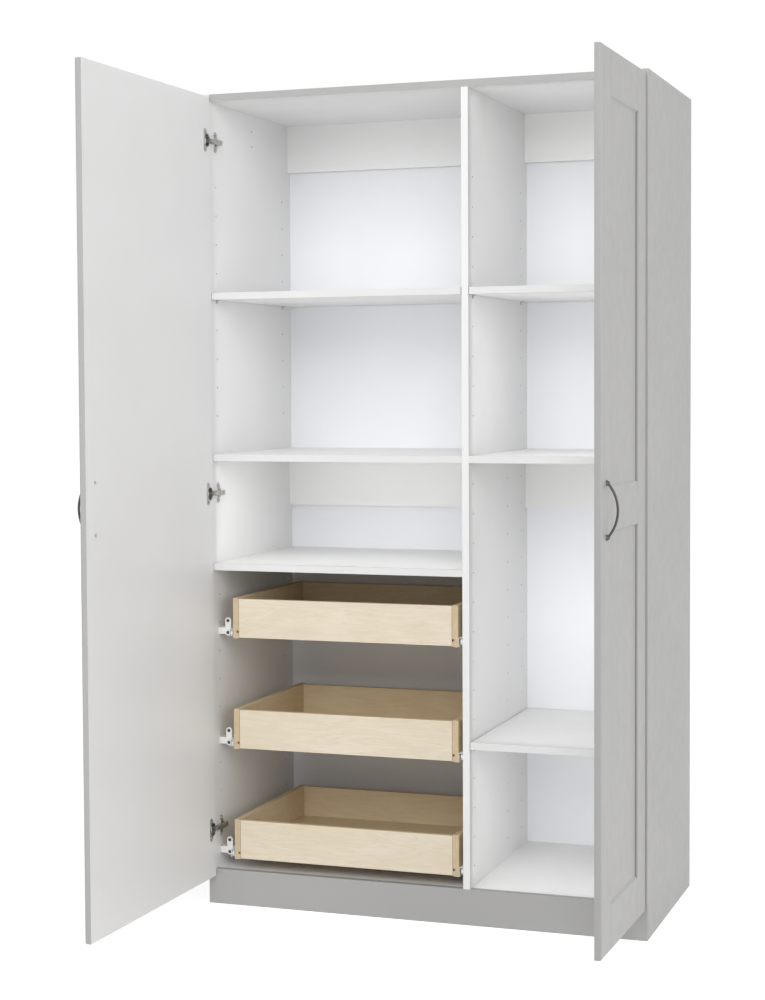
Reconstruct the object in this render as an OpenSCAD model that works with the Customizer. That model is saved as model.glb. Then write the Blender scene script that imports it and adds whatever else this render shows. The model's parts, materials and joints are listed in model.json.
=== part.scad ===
// Tall two-bay utility cabinet with two hinged doors, shelves and three roll-out trays.
// X runs across the front, Y runs into the cabinet from the plane of its front edges, Z runs up from
// the floor. The doors stand open at rest and the trays are pushed in. All sizes are in millimetres.

/* [Carcass] */
// Overall width of the carcass
cabinet_w = 1219; // [1120:1:1400]
// Depth of the carcass, without the doors
cabinet_d = 610; // [560:1:700]
// Overall height
cabinet_h = 2216; // [2150:1:2400]
// Thickness of the carcass boards and shelves
board_t = 19; // [16:0.5:22]
// Clear width of the left bay, which holds the trays
left_bay_w = 710; // [640:1:760]
// Height of the floor panel's upper face
floor_top = 96; // [80:1:110]
// Thickness of the back panel
back_t = 6.5; // [4:0.5:9]
// Distance from the rear edges of the sides to the back panel
back_inset = 3; // [1:0.5:8]
// Depth of the grooves that hold the back panel
back_groove = 8; // [4:0.5:10]
// Height of the hanging rails under the top panel
top_nailer_h = 138; // [90:1:180]
// Height of the hanging rails under the middle shelves
mid_nailer_h = 152; // [90:1:180]
// Radius of the banded front edges of the boards
band_r = 1; // [0.5:0.1:2]

/* [Shelves] */
// Height of the underside of the upper shelves
upper_shelf_z = 1661; // [1640:1:1700]
// Height of the underside of the middle shelves
middle_shelf_z = 1221; // [1190:1:1240]
// Height of the underside of the shelf over the trays
tray_bay_shelf_z = 922; // [890:1:940]
// Height of the underside of the lower right shelf
lower_shelf_z = 467; // [440:1:490]
// Gap between a loose shelf and the board beside it
shelf_gap = 2; // [1.8:0.1:4]
// Diameter of the shelf pin holes
pin_hole_d = 5; // [4:0.1:7]
// Depth of the shelf pin holes
pin_hole_deep = 9; // [6:0.5:9]
// Distance from one shelf pin hole to the next one up
pin_pitch = 78; // [64:1:84]
// Distance from the front plane to the front row of shelf pin holes
pin_front_y = 42; // [37:1:60]
// Distance from the front plane to the middle row of holes in the right bay
pin_middle_y = 385; // [300:1:420]
// Distance from the front plane to the rear row of holes
pin_rear_y = 535; // [480:1:540]
// Thickness of a shelf pin's wall plate and ledge
pin_plate = 1.6; // [1:0.1:1.8]
// Width of a shelf pin's wall plate and ledge
pin_w = 9; // [8:0.5:14]
// Length of a shelf pin's ledge
pin_ledge = 8; // [6:0.5:12]

/* [Doors] */
// Thickness of the doors
door_t = 18; // [17:0.5:22]
// Gap between the carcass and a closed door
door_gap = 4; // [3.7:0.1:6]
// Distance from the carcass side to the hinge edge of a closed door
door_reveal = 3; // [1:0.5:5]
// Gap between the two closed doors
door_meet = 3; // [2:0.5:6]
// Distance from the top of the carcass to the top of the doors
door_drop = 8; // [2:1:20]
// Height of the lower edge of the doors
door_bottom = 78; // [60:1:90]
// Width of the stiles, the raised borders along a door's sides
stile_w = 95; // [70:1:120]
// Height of the rails, the raised borders across a door's top and bottom
rail_h = 110; // [70:1:140]
// Height of the raised rail across the middle of a door
mid_rail_h = 104; // [70:1:130]
// Height of the middle rail's centre above the floor
mid_rail_z = 1131; // [1090:1:1180]
// Depth of the recessed panels below the stiles, and width of their sloped borders
panel_recess = 5; // [3:0.5:5]
// Radius of the outer edges of the doors
door_edge_r = 6; // [1:0.5:8]
// Angle at which the left door stands open
left_open = 91; // [80:0.5:100]
// Angle at which the right door stands open
right_open = 89; // [80:0.5:100]

/* [Hinges] */
// Diameter of the hinge cups
cup_d = 35; // [35:0.5:38]
// Depth of the hinge cups in the doors
cup_deep = 13.6; // [13.4:0.1:14]
// Distance from a door's hinge edge to its hinge cups
cup_edge = 3; // [2:0.1:3.2]
// Distance from a door's hinge edge to the hinge pins
pin_in = 9.2; // [9:0.05:9.3]
// Depth of the hinge pins below a door's inner face
pin_deep = 10; // [9.8:0.05:10.1]
// Radius of the hinge pins
hinge_pin_r = 1.25; // [1:0.05:1.4]
// Running clearance round a hinge pin
pin_play = 0.05; // [0.03:0.01:0.08]
// Distance from a door's top to its top hinge
top_hinge_drop = 118; // [90:1:150]
// Distance from a door's lower edge to its bottom hinge
low_hinge_rise = 132; // [125:1:150]
// Distance from the middle shelves down to the middle hinge
mid_hinge_drop = 88; // [70:1:120]
// Height of a hinge plate's wings
plate_h = 56; // [48:1:64]
// Length of a hinge plate and its arm along the side
arm_l = 56; // [50:1:66]

/* [Pulls] */
// Distance between the two screws of a pull
pull_centres = 128; // [96:1:160]
// Height of a pull above the door's face
pull_rise = 30; // [26:0.5:36]
// Radius of a pull's bar
pull_bar_r = 3; // [2.5:0.1:4]
// Radius of a pull's feet on the door
pull_foot_r = 8; // [6:0.1:10]
// Radius of the pull screws
pull_screw_r = 2; // [1.5:0.1:2.4]

/* [Trays] */
// Height of the lower edge of the lowest tray
lower_tray_z = 127; // [124:1:130]
// Distance from one tray to the next one up
tray_step = 305; // [290:1:315]
// Height of the tray sides
tray_h = 110; // [90:1:120]
// Depth of the trays from front to back
tray_d = 510; // [480:1:520]
// Thickness of the tray boards
tray_t = 16; // [13:0.5:18]
// Thickness of the tray floors
tray_floor_t = 6.4; // [5:0.1:8]
// Distance from a tray's lower edge to the underside of its floor
tray_floor_z = 14; // [12:0.5:20]
// Depth of the grooves that hold the tray floors
tray_groove = 6; // [4:0.5:8]
// Distance from the front plane to the front of a closed tray
tray_setback = 3; // [2:0.5:6]
// Distance that a tray's front and back stand in from the edges of its sides, above and below
tray_front_in = 2; // [0:0.5:4]
// Radius of the upper edges of the tray boards
tray_edge_r = 1.5; // [0.5:0.1:3]
// Distance that the trays pull out
tray_travel = 380; // [300:5:400]

/* [Slides] */
// Gap between a tray and the board or bracket that its slide is fixed to
slide_gap = 12.7; // [12.4:0.1:14]
// Thickness of the sheet steel of the slides
slide_s = 1.2; // [1:0.05:1.3]
// Height of a runner's web beside the tray
runner_h = 24; // [23:0.5:28]
// Width of a runner's foot under the tray
runner_foot = 12; // [8:0.5:14]
// Radius of the rollers
roller_r = 9.5; // [8:0.1:9.8]
// Width of the rollers
roller_w = 6; // [5:0.1:6.2]
// Radius of the roller axles
axle_r = 2; // [1.5:0.1:2.5]
// Running clearance round a roller axle
axle_play = 0.06; // [0.03:0.01:0.09]
// Width of the spacer brackets between the left slides and the side
spacer_w = 44; // [36:1:50]
// Length of a spacer bracket along the slide
spacer_l = 30; // [24:1:40]

/* [Hidden] */
$fn = 48;

// Sides of the cabinet and of a slide
LEFT = -1;
RIGHT = 1;

// Colours of the finishes
GREY = [0.72, 0.72, 0.71];
WHITE = [0.93, 0.93, 0.94];
MAPLE = [0.90, 0.83, 0.68];
NICKEL = [0.62, 0.61, 0.59];
DARK_NICKEL = [0.36, 0.35, 0.34];
ENAMEL = [0.95, 0.95, 0.95];
NYLON = [0.97, 0.97, 0.96];

// Small overlap that carries a cut past the face it starts from
cut = 1;

// Planes across the width, from left to right
left_x = -cabinet_w / 2;
left_bay_x0 = left_x + board_t;
left_bay_x1 = left_bay_x0 + left_bay_w;
right_bay_x0 = left_bay_x1 + board_t;
right_bay_x1 = cabinet_w / 2 - board_t;
right_bay_w = right_bay_x1 - right_bay_x0;

// Planes along the depth and height
back_y = cabinet_d - back_inset - back_t;
nailer_y = back_y - board_t;
floor_under = floor_top - board_t;
ceiling_z = cabinet_h - board_t;

// Shelf pin holes: the row that carries a shelf lies this far below the shelf
pin_drop = 5;
peg_fit = 0.1;
peg_short = 0.5;
row_over_floor = 30;
row_under_shelf = 20;
upper_rows = [for (k = [-4:4]) upper_shelf_z - pin_drop + k * pin_pitch];
right_rows = [for (z = [for (k = [-4:9]) lower_shelf_z - pin_drop + k * pin_pitch])
              if (z > floor_top + row_over_floor && z < middle_shelf_z - row_under_shelf) z];
tray_rows = [for (z = right_rows) if (z < tray_bay_shelf_z - row_under_shelf) z];

// Two holes high on the inner face of the left side
spare_y = 302;
spare_rows = [for (d = [48, 91]) ceiling_z - d];

// Doors
door_top = cabinet_h - door_drop;
door_h = door_top - door_bottom;
left_door_w = board_t + left_bay_w + board_t / 2 - door_meet / 2 - door_reveal;
right_door_w = board_t + right_bay_w + board_t / 2 - door_meet / 2 - door_reveal;

// Hinges, in the frame of the left door when it is closed
pivot_x = left_x + door_reveal + pin_in;
pivot_y = -door_gap - pin_deep;
hinge_heights = [door_bottom + low_hinge_rise, middle_shelf_z - mid_hinge_drop,
                 door_top - top_hinge_drop];
cup_r = cup_d / 2;
cup_x = left_x + door_reveal + cup_edge + cup_r;
cup_fit = 0.1;
cup_wall = 1;
cup_floor = 0.7;
cup_notch = 3;
flange_t = 1.2;
flange_h = 63;
flange_w = 17;
flange_shift = 9.5;
wing_screw = 45;
wing_hole_r = 2;
cup_rim = 1.5;
notch_play = 1;
knuckle_r = 2.4;
knuckle_h = 14;
neck_t = 2.4;
neck_h = 9;
neck_reach = 20;
neck_lap = 2;
arm_h = 13;
arm_wall = 1.5;
arm_end = 8;
arm_hole_r = 3;
arm_hole_deep = 2;
arm_holes = [16, arm_l - 12];
arm_x1 = pivot_x + neck_reach;
plate_block = 7;
plate_t = 2.5;
plate_y = 37;
plate_tip_r = 7;
plate_hole_r = 2.3;
plate_root = 16;
plate_root_w = 5;
plate_start = 4;
plate_step = 1;

// Pulls stand on the middle of the stile at the free edge
pull_in = stile_w / 2;
pull_end = 3;
pull_post = 8;
pull_neck_r = 3;
pull_bore = 6;
pull_overrun = 6;
screw_play = 0.2;
screw_fit = 0.05;
screw_short = 1;
head_r = 4.5;
head_flat_r = 2.7;
head_t = 2;

// Trays and slides
tray_x0 = left_bay_x0 + spacer_w + slide_gap;
tray_x1 = left_bay_x1 - slide_gap;
tray_levels = [for (k = [0:2]) lower_tray_z + k * tray_step];
track_gap = 1.5;
track_w = slide_gap - 2 * slide_s - track_gap;
track_under = runner_h - slide_s;
rail_lift = 0.6;
roller_play = 0.3;
rail_top = runner_h + rail_lift;
rail_low = rail_top - 2 * roller_r - 2 * roller_play;
rear_axle_z = (rail_top + rail_low) / 2;
front_axle_z = track_under - roller_play - roller_r;
rail_in = 3;
rail_y0 = tray_setback + rail_in;
rail_l = tray_d - 2 * rail_in;
front_axle_y = rail_y0 + roller_r + 2.5;
runner_in = 2;
runner_short = 12;
runner_y0 = tray_setback + runner_in;
runner_l = tray_d - runner_short;
rear_axle_y = runner_y0 + runner_l - roller_r;
roller_edge = 0.8;
roller_clear = 2;
roller_out = slide_gap - slide_s - roller_edge;
roller_in = roller_out - roller_w;
collar_r = 1.6 * axle_r;
hub_r = 2.2 * axle_r;
tread_r = 1;
roller_rim = 2.2;
roller_dish = 0.8;
flange_gap = 4.2;
flange_reach = slide_gap - flange_gap;
spacer_block_w = spacer_w / 2;
spacer_block_h = 18;
spacer_face_w = 17;
spacer_face_h = 50;
spacer_face_t = 3;
spacer_face_rise = 12;
spacer_hole_r = 2.5;
spacer_boss_h = 16;
spacer_boss_in = 3;
spacer_rear_in = 20;
spacer_ys = [plate_y, tray_setback + tray_d - spacer_rear_in - spacer_l];

// A rectangle with its two corners at y = 0 rounded
module banded(w, d, r) {
    translate([0, r]) square([w, d - r]);
    translate([r, 0]) square([w - 2 * r, r]);
    for (x = [r, w - r]) translate([x, r]) circle(r);
}

// A level board with a banded front edge
module level_board(x, y, z, w, d, t) {
    translate([x, y, z]) rotate([90, 0, 90]) linear_extrude(w)
        rotate(90) mirror([0, 1]) banded(t, d, band_r);
}

// An upright board with a banded front edge
module upright_board(x, y, z, t, d, h) {
    translate([x, y, z]) linear_extrude(h) banded(t, d, band_r);
}

// Rows of shelf pin holes in a face at x, drilled towards dir
module pin_holes(x, dir, ys, zs) {
    for (y = ys, z = zs) translate([x - dir * cut, y, z]) rotate([0, 90 * dir, 0])
        cylinder(d = pin_hole_d, h = pin_hole_deep + cut);
}

// A closed carcass side, with its inner face drilled for shelf pins
module carcass_side(side) {
    x = side == LEFT ? left_x : cabinet_w / 2 - board_t;
    inner = side == LEFT ? left_bay_x0 : right_bay_x1;
    difference() {
        upright_board(x, 0, 0, board_t, cabinet_d, cabinet_h);
        // notch for the toe kick
        translate([x - cut, -cut, -cut]) cube([board_t + 2 * cut, board_t + cut, floor_top + cut]);
        // groove for the back panel
        translate([side == LEFT ? inner - back_groove : inner - cut, back_y, -cut])
            cube([back_groove + cut, back_t, cabinet_h + 2 * cut]);
        pin_holes(inner, side, [pin_front_y, pin_rear_y], upper_rows);
        if (side == LEFT) {
            pin_holes(inner, side, [pin_front_y, pin_rear_y], tray_rows);
            pin_holes(inner, side, [spare_y], spare_rows);
        } else {
            pin_holes(inner, side, [pin_front_y, pin_middle_y, pin_rear_y], right_rows);
        }
    }
}

module side_left() {
    color(GREY) carcass_side(LEFT);
}

module side_right() {
    color(GREY) carcass_side(RIGHT);
}

module divider() {
    color(WHITE) difference() {
        upright_board(left_bay_x1, 0, floor_top, board_t, back_y, ceiling_z - floor_top);
        pin_holes(left_bay_x1, 1, [pin_front_y, pin_rear_y], upper_rows);
        pin_holes(left_bay_x1, 1, [pin_front_y, pin_rear_y], tray_rows);
        pin_holes(right_bay_x0, -1, [pin_front_y, pin_rear_y], upper_rows);
        pin_holes(right_bay_x0, -1, [pin_front_y, pin_middle_y, pin_rear_y], right_rows);
    }
}

module top_panel() {
    color(WHITE) level_board(left_bay_x0, 0, ceiling_z, cabinet_w - 2 * board_t, back_y, board_t);
}

// The floor panel starts behind the toe kick
module floor_panel() {
    color(WHITE) translate([left_bay_x0, board_t, floor_under])
        cube([cabinet_w - 2 * board_t, back_y - board_t, board_t]);
}

// The toe kick covers the front ends of both sides below the floor panel
module toe_kick() {
    color(GREY) translate([left_x, 0, 0]) cube([cabinet_w, board_t, floor_top]);
}

// The rear of the floor panel stands on this rail
module base_rail() {
    color(WHITE) translate([left_bay_x0, nailer_y, 0])
        cube([cabinet_w - 2 * board_t, board_t, floor_under]);
}

// The bearer carries the floor panel under the divider
module base_bearer() {
    color(WHITE) translate([left_bay_x1, board_t, 0])
        cube([board_t, nailer_y - board_t, floor_under]);
}

module back_panel() {
    slack = 0.5;
    color(WHITE) translate([left_bay_x0 - back_groove + slack, back_y, floor_under])
        cube([cabinet_w - 2 * board_t + 2 * back_groove - 2 * slack, back_t, cabinet_h - floor_under]);
}

// Hanging rails stand against the back panel, under the board at z
module nailer(x, w, z, h) {
    color(WHITE) translate([x, nailer_y, z - h]) cube([w, board_t, h]);
}

module fixed_shelf(x, w, z) {
    color(WHITE) level_board(x, 0, z, w, back_y, board_t);
}

module loose_shelf(x, w, z) {
    color(WHITE) level_board(x + shelf_gap, 0, z, w - 2 * shelf_gap, back_y - shelf_gap, board_t);
}

// A shelf pin whose wall plate lies on the plane x = 0 and whose ledge reaches towards +X
module shelf_pin() {
    peg_r = pin_hole_d / 2 - peg_fit;
    translate([0, 0, -pin_drop]) rotate([0, -90, 0]) cylinder(r = peg_r, h = pin_hole_deep - peg_short);
    translate([0, -pin_w / 2, -pin_drop - pin_w / 2]) cube([pin_plate, pin_w, pin_drop + pin_w / 2]);
    translate([0, -pin_w / 2, -pin_plate]) cube([pin_ledge, pin_w, pin_plate]);
}

// Four pins carry each loose shelf
module shelf_pins() {
    color(NICKEL) for (bay = [[left_bay_x0, left_bay_x1, upper_shelf_z],
                              [right_bay_x0, right_bay_x1, upper_shelf_z],
                              [right_bay_x0, right_bay_x1, lower_shelf_z]], y = [pin_front_y, pin_rear_y]) {
        translate([bay[0], y, bay[2]]) shelf_pin();
        translate([bay[1], y, bay[2]]) mirror([1, 0, 0]) shelf_pin();
    }
}

// Mirrors a piece of the left door to the right door
module on_side(side) {
    if (side == LEFT) children();
    else mirror([1, 0, 0]) children();
}

// Swings a piece of a closed door about its hinge pins to where it stands open
module swung(side) {
    angle = side == LEFT ? left_open : right_open;
    on_side(side) translate([pivot_x, pivot_y, 0]) rotate(-angle) translate([-pivot_x, -pivot_y, 0])
        children();
}

// A slab with rounded edges round its outer face, drawn closed with its hinge edge on the left
module door_slab(w) {
    intersection() {
        translate([left_x + door_reveal, -door_gap - door_t, door_bottom]) linear_extrude(door_h)
            banded(w, door_t, door_edge_r);
        translate([left_x + door_reveal, -door_gap - door_t, door_bottom]) rotate([90, 0, 90])
            linear_extrude(w) rotate(90) mirror([0, 1]) banded(door_h, door_t, door_edge_r);
    }
}

// Section across a pocket of width w that is cut into the face y = 0, with sides sloped at 45 degrees
module pocket_section(w) {
    polygon([[-cut, -cut], [w + cut, -cut], [w - panel_recess, panel_recess], [panel_recess, panel_recess]]);
}

// Pocket of a recessed panel
module pocket(w, h) {
    intersection() {
        translate([0, 0, -cut]) linear_extrude(h + 2 * cut) pocket_section(w);
        translate([-cut, 0, 0]) rotate([90, 0, 90]) linear_extrude(w + 2 * cut)
            rotate(90) mirror([0, 1]) pocket_section(h);
    }
}

// One routed slab: two recessed panels outside, bores for hinge cups and pull screws inside
module door(side) {
    w = side == LEFT ? left_door_w : right_door_w;
    panel_x = left_x + door_reveal + stile_w;
    panel_w = w - 2 * stile_w;
    low_z = door_bottom + rail_h;
    mid_low = mid_rail_z - mid_rail_h / 2;
    mid_high = mid_rail_z + mid_rail_h / 2;
    color(GREY) swung(side) difference() {
        door_slab(w);
        for (span = [[low_z, mid_low], [mid_high, door_top - rail_h]])
            translate([panel_x, -door_gap - door_t, span[0]]) pocket(panel_w, span[1] - span[0]);
        for (z = hinge_heights) translate([cup_x, -door_gap + cut, z]) rotate([90, 0, 0])
            cylinder(r = cup_r, h = cup_deep + cut);
        for (z = pull_screw_heights()) translate([pull_x(w), -door_gap + cut, z]) rotate([90, 0, 0])
            cylinder(r = pull_screw_r + screw_play, h = door_t + 2 * cut);
    }
}

function pull_x(w) = left_x + door_reveal + w - pull_in;

function pull_screw_heights() = [for (s = [-1, 1]) mid_rail_z + s * pull_centres / 2];

// A bowed bar that ends on the door's face, on two flared feet with blind bores for its screws
module pull(side) {
    w = side == LEFT ? left_door_w : right_door_w;
    half = pull_centres / 2 + pull_end;
    crown = pull_rise - pull_bar_r;
    bow_r = (half * half + crown * crown) / (2 * crown);
    end_angle = asin(half / bow_r) + pull_overrun;
    color(DARK_NICKEL) swung(side) translate([pull_x(w), -door_gap - door_t, mid_rail_z]) difference() {
        union() {
            difference() {
                translate([0, bow_r - crown, 0]) rotate([0, 90, 0]) rotate(-90 - end_angle)
                    rotate_extrude(angle = 2 * end_angle, $fn = 96) translate([bow_r, 0])
                        circle(pull_bar_r);
                // the bar is cut off flush with the door's face
                translate([-pull_foot_r, 0, -2 * half]) cube([2 * pull_foot_r, pull_rise, 4 * half]);
            }
            for (s = [-1, 1]) translate([0, 0, s * pull_centres / 2]) rotate([90, 0, 0])
                cylinder(r1 = pull_foot_r, r2 = pull_neck_r, h = pull_post);
        }
        for (s = [-1, 1]) translate([0, cut, s * pull_centres / 2]) rotate([90, 0, 0])
            cylinder(r = pull_screw_r, h = pull_bore + cut);
    }
}

// Round-headed screws that pass through the door into the pull's feet
module pull_screws(side) {
    w = side == LEFT ? left_door_w : right_door_w;
    color(NICKEL) swung(side) for (z = pull_screw_heights()) translate([pull_x(w), -door_gap, z]) {
        rotate([90, 0, 0]) cylinder(r = pull_screw_r - screw_fit, h = door_t + pull_bore - screw_short);
        rotate([-90, 0, 0]) rotate_extrude() polygon([[0, 0], [head_r, 0], [head_r, head_t / 2],
                                                     [head_flat_r, head_t], [0, head_t]]);
    }
}

// Outline of a cup's mounting flange: a round rim with a wing above and below
module cup_flange() {
    circle(cup_r + cup_rim);
    for (s = [-1, 1]) translate([flange_shift, s * (flange_h - flange_w) / 2]) circle(flange_w / 2);
    translate([flange_shift - flange_w / 2, -(flange_h - flange_w) / 2])
        square([flange_w, flange_h - flange_w]);
}

// Cups pressed into the door, each with a pin across it for the arm's knuckle
module hinge_cups(side) {
    inner_r = cup_r - cup_fit - cup_wall;
    pin_l = 2 * sqrt(inner_r * inner_r - pow(cup_x - pivot_x, 2)) + cup_wall;
    color(NICKEL) swung(side) for (z = hinge_heights) {
        difference() {
            union() {
                translate([cup_x, -door_gap, z]) rotate([90, 0, 0])
                    cylinder(r = cup_r - cup_fit, h = cup_deep - cup_fit);
                translate([cup_x, -door_gap + flange_t, z]) rotate([90, 0, 0])
                    linear_extrude(flange_t) cup_flange();
            }
            translate([cup_x, -door_gap + flange_t + cut, z]) rotate([90, 0, 0])
                cylinder(r = inner_r, h = flange_t + cup_deep - cup_fit - cup_floor + cut);
            // notch that lets the neck lean past the rim when the door stands wide open
            translate([cup_x - cup_r - cup_rim - cut, -door_gap - cup_notch, z - neck_h / 2 - notch_play])
                cube([cup_r, cup_notch + flange_t + cut, neck_h + 2 * notch_play]);
            for (s = [-1, 1]) translate([cup_x + flange_shift, -door_gap + flange_t + cut,
                                         z + s * wing_screw / 2])
                rotate([90, 0, 0]) cylinder(r = wing_hole_r, h = flange_t + 2 * cut);
        }
        translate([pivot_x, pivot_y, z - pin_l / 2]) cylinder(r = hinge_pin_r, h = pin_l);
    }
}

// Arms fixed to the carcass: a knuckle on the cup's pin, a cranked neck and a body on the plate
module hinge_arms(side) {
    body_x = left_bay_x0 + plate_block;
    color(NICKEL) on_side(side) for (z = hinge_heights) {
        difference() {
            union() {
                translate([pivot_x, pivot_y, z - knuckle_h / 2]) cylinder(r = knuckle_r, h = knuckle_h);
                translate([pivot_x, pivot_y - neck_t / 2, z - neck_h / 2])
                    cube([neck_reach, neck_t, neck_h]);
            }
            translate([pivot_x, pivot_y, z - knuckle_h / 2 - cut])
                cylinder(r = hinge_pin_r + pin_play, h = knuckle_h + 2 * cut);
        }
        translate([arm_x1 - neck_t, pivot_y - neck_t / 2, z - neck_h / 2])
            cube([neck_t, plate_start + neck_lap - pivot_y, neck_h]);
        // body, a channel closed towards the bay
        difference() {
            translate([body_x, plate_start, z - arm_h / 2]) cube([arm_x1 - body_x, arm_l, arm_h]);
            translate([body_x - cut, plate_start + arm_end, z - arm_h / 2 + arm_wall])
                cube([arm_x1 - body_x - arm_wall + cut, arm_l - 2 * arm_end, arm_h - 2 * arm_wall]);
            for (y = arm_holes) translate([arm_x1 - arm_hole_deep, plate_start + y, z])
                rotate([0, 90, 0]) cylinder(r = arm_hole_r, h = arm_hole_deep + cut);
        }
    }
}

// Outline of a plate's wings: each sweeps forward from the block to a round tip with a screw hole
module plate_wings() {
    tip_z = plate_h / 2 - plate_tip_r;
    lip = plate_tip_r - 2;
    difference() {
        for (s = [-1, 1]) {
            translate([0, s * tip_z]) circle(plate_tip_r);
            polygon([[plate_root - plate_root_w, -s * cut], [plate_root + plate_root_w, -s * cut],
                     [lip, s * (tip_z + 2)], [-lip, s * (tip_z - 3)]]);
        }
        for (s = [-1, 1]) translate([0, s * tip_z]) circle(plate_hole_r);
    }
}

// Winged plates screwed to the carcass side, each with a block that carries the arm
module hinge_plates(side) {
    color(NICKEL) on_side(side) for (z = hinge_heights) {
        translate([left_bay_x0, plate_start, z - arm_h / 2 + plate_step])
            cube([plate_block, arm_l, arm_h - 2 * plate_step]);
        translate([left_bay_x0, plate_y, z]) rotate([90, 0, 90]) linear_extrude(plate_t) plate_wings();
    }
}

// Section of a tray board: rounded upper edges and a groove for the floor in its right face
module tray_board_section(edge_in) {
    difference() {
        translate([0, tray_h - edge_in]) mirror([0, 1]) banded(tray_t, tray_h - 2 * edge_in, tray_edge_r);
        translate([tray_t - tray_groove, tray_floor_z]) square([tray_groove + cut, tray_floor_t]);
    }
}

// Sides run the full depth of the tray, and their grooves show at the front
module tray_side(z, side) {
    color(MAPLE) translate([side == LEFT ? tray_x0 : tray_x1, tray_setback + tray_d, z])
        mirror([side == LEFT ? 0 : 1, 0, 0]) rotate([90, 0, 0]) linear_extrude(tray_d)
            tray_board_section(0);
}

module tray_front(z) {
    color(MAPLE) translate([tray_x0 + tray_t, tray_setback, z]) mirror([1, -1, 0])
        rotate([90, 0, 0]) translate([0, 0, -tray_x1 + tray_x0 + 2 * tray_t])
            linear_extrude(tray_x1 - tray_x0 - 2 * tray_t) tray_board_section(tray_front_in);
}

module tray_back(z) {
    color(MAPLE) translate([0, 2 * tray_setback + tray_d, 0]) mirror([0, 1, 0]) tray_front(z);
}

// The floor panel lies in the grooves of all four boards
module tray_floor(z) {
    slack = 0.5;
    edge = tray_t - tray_groove + slack;
    color(MAPLE) translate([tray_x0 + edge, tray_setback + edge, z + tray_floor_z])
        cube([tray_x1 - tray_x0 - 2 * edge, tray_d - 2 * edge, tray_floor_t]);
}

// Places a slide drawn for the tray's left side, where x = 0 is the tray's outer face
module slide_at(side) {
    if (side == LEFT) translate([tray_x0, 0, 0]) children();
    else translate([tray_x1, 0, 0]) mirror([1, 0, 0]) children();
}

// A flat strip of a slide, from x0 to x1 and from z0 to z1, along its length
module strip(x0, x1, z0, z1, y0, l) {
    translate([x0, y0, z0]) cube([x1 - x0, l, z1 - z0]);
}

// An axle along X from x0 to x1
module axle(x0, x1, y, z, r) {
    translate([x0, y, z]) rotate([0, 90, 0]) cylinder(r = r, h = x1 - x0);
}

// Runners wrap the tray's lower corners; their tracks ride on the front rollers
module runners(z) {
    track_l = rear_axle_y - roller_r - roller_clear - runner_y0;
    color(ENAMEL) translate([0, 0, z]) for (side = [LEFT, RIGHT]) slide_at(side) {
        strip(-slide_s, runner_foot, -slide_s, 0, runner_y0, runner_l);
        strip(-slide_s, 0, -slide_s, runner_h, runner_y0, runner_l);
        strip(-slide_s - track_w, 0, track_under, runner_h, runner_y0, track_l);
        axle(-roller_out, -slide_s / 2, rear_axle_y, rear_axle_z, axle_r);
        axle(-roller_in + roller_play, -slide_s / 2, rear_axle_y, rear_axle_z, collar_r);
    }
}

// Rails are channels open towards the tray; the front roller stands where the lower flange ends
module rails(z) {
    low_y0 = front_axle_y + roller_r + roller_clear;
    color(ENAMEL) translate([0, 0, z]) for (side = [LEFT, RIGHT]) slide_at(side) {
        strip(-slide_gap, -slide_gap + slide_s, rail_low - slide_s, rail_top + slide_s, rail_y0, rail_l);
        strip(-slide_gap, -slide_gap + flange_reach, rail_top, rail_top + slide_s, rail_y0, rail_l);
        strip(-slide_gap, -slide_gap + flange_reach, rail_low - slide_s, rail_low, low_y0,
              rail_l - low_y0 + rail_y0);
        axle(-slide_gap + slide_s / 2, -roller_in, front_axle_y, front_axle_z, axle_r);
    }
}

// A roller with a rounded tread and a recess in each face
module roller() {
    tread = roller_w / 2;
    rotate([0, 90, 0]) rotate_extrude($fn = 64) difference() {
        union() {
            translate([0, -tread]) square([roller_r - tread_r, roller_w]);
            translate([0, -tread + tread_r]) square([roller_r, roller_w - 2 * tread_r]);
            for (s = [-1, 1]) translate([roller_r - tread_r, s * (tread - tread_r)]) circle(tread_r);
        }
        translate([-roller_r, -roller_w]) square([roller_r + axle_r + axle_play, 2 * roller_w]);
        for (s = [-1, 1]) translate([hub_r, s * tread - roller_dish])
            square([roller_r - roller_rim - hub_r, 2 * roller_dish]);
    }
}

module roller_pair(z, y) {
    x = roller_in + roller_w / 2;
    color(NYLON) for (side = [LEFT, RIGHT]) slide_at(side) translate([-x, y, z]) roller();
}

// Face plate of a spacer: round ends and two screw holes
module spacer_face() {
    half = (spacer_face_h - spacer_face_w) / 2;
    difference() {
        union() {
            translate([-spacer_face_w / 2, -half]) square([spacer_face_w, 2 * half]);
            for (s = [-1, 1]) translate([0, s * half]) circle(spacer_face_w / 2);
        }
        for (s = [-1, 1]) translate([0, s * half]) circle(spacer_hole_r);
    }
}

// Spacers that carry the left rails clear of the open door: a block on the side, a face plate and a boss
module slide_brackets() {
    rail_z = (rail_top + rail_low) / 2;
    color(NYLON) for (z = tray_levels, y = spacer_ys) translate([left_bay_x0, y, z + rail_z]) {
        translate([0, 0, -spacer_block_h / 2]) cube([spacer_block_w, spacer_l, spacer_block_h]);
        translate([spacer_block_w + spacer_face_w / 2 - spacer_face_t, spacer_face_t, spacer_face_rise])
            rotate([90, 0, 0]) linear_extrude(spacer_face_t) spacer_face();
        translate([spacer_block_w - cut, spacer_boss_in, -spacer_boss_h / 2])
            cube([spacer_w - spacer_block_w + cut, spacer_l - 2 * spacer_boss_in, spacer_boss_h]);
    }
}

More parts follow.
